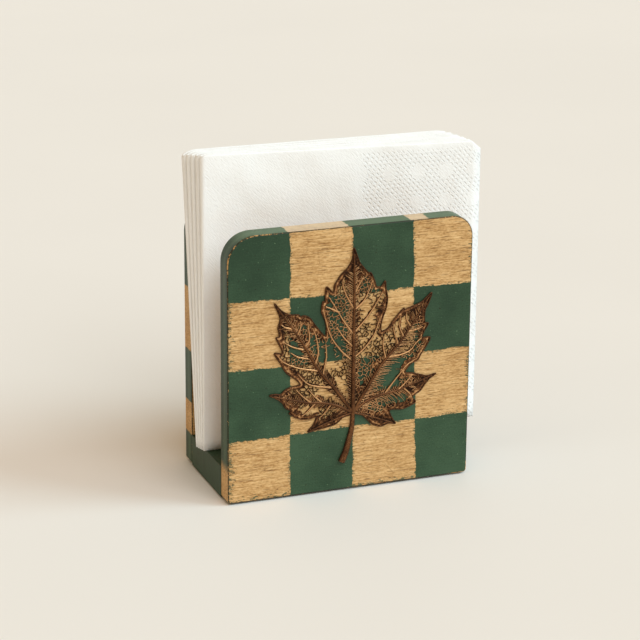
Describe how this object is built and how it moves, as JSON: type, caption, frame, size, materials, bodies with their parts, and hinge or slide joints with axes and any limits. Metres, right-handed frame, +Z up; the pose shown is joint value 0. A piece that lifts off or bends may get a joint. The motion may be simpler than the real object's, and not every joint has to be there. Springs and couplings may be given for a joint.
{
  "type": "napkin holder",
  "caption": "Wooden napkin holder with two upright check-painted panels, a bronze openwork maple leaf on the front, a shallow drawer in its base and folded paper napkins in its slot.",
  "frame": {"origin": "middle of the felt underside that the holder rests on, at the table's level", "axes": "+X along the slot towards the drawer front, +Y from the front panel to the back panel, +Z up"},
  "size_m": [0.167, 0.0774, 0.1895],
  "materials": {
    "painted_wood": "satin",
    "bare_wood": "satin",
    "bronze": "satin",
    "steel": "satin",
    "felt": "matte",
    "napkin_paper": "matte"
  },
  "bodies": {
    "holder": {"felt_base": "felt", "floor_board": "bare_wood", "shelf_board": "bare_wood", "left_end_block": "painted_wood", "front_panel": "painted_wood", "back_panel": "painted_wood", "panel_dowels": "bare_wood", "drawer_stop_strip": "bare_wood", "maple_leaf": "bronze", "leaf_pins": "bronze"},
    "drawer": {"drawer_front": "painted_wood", "drawer_side_front": "bare_wood", "drawer_side_back": "bare_wood", "drawer_back": "bare_wood", "drawer_bottom": "bare_wood", "drawer_knob": "bronze", "knob_screw": "steel", "drawer_brads": "steel"},
    "napkin_1": {"napkin_1": "napkin_paper"},
    "napkin_2": {"napkin_2": "napkin_paper"},
    "napkin_3": {"napkin_3": "napkin_paper"},
    "napkin_4": {"napkin_4": "napkin_paper"},
    "napkin_5": {"napkin_5": "napkin_paper"}
  },
  "joints": [
    {"name": "drawer_slide", "type": "slide", "parent": "holder", "child": "drawer", "axis": [1, 0, 0], "range_m": [0, 0.084]},
    {"name": "napkin_1_pull", "type": "slide", "parent": "holder", "child": "napkin_1", "axis": [0, 0.0141, 0.9999], "range_m": [0, 0.14]},
    {"name": "napkin_2_pull", "type": "slide", "parent": "holder", "child": "napkin_2", "axis": [0, 0.0422, 0.9991], "range_m": [0, 0.14]},
    {"name": "napkin_3_pull", "type": "slide", "parent": "holder", "child": "napkin_3", "axis": [0, 0.0702, 0.9975], "range_m": [0, 0.14]},
    {"name": "napkin_4_pull", "type": "slide", "parent": "holder", "child": "napkin_4", "axis": [0, 0.0981, 0.9952], "range_m": [0, 0.14]},
    {"name": "napkin_5_pull", "type": "slide", "parent": "holder", "child": "napkin_5", "axis": [0, 0.1257, 0.9921], "range_m": [0, 0.14]}
  ]
}
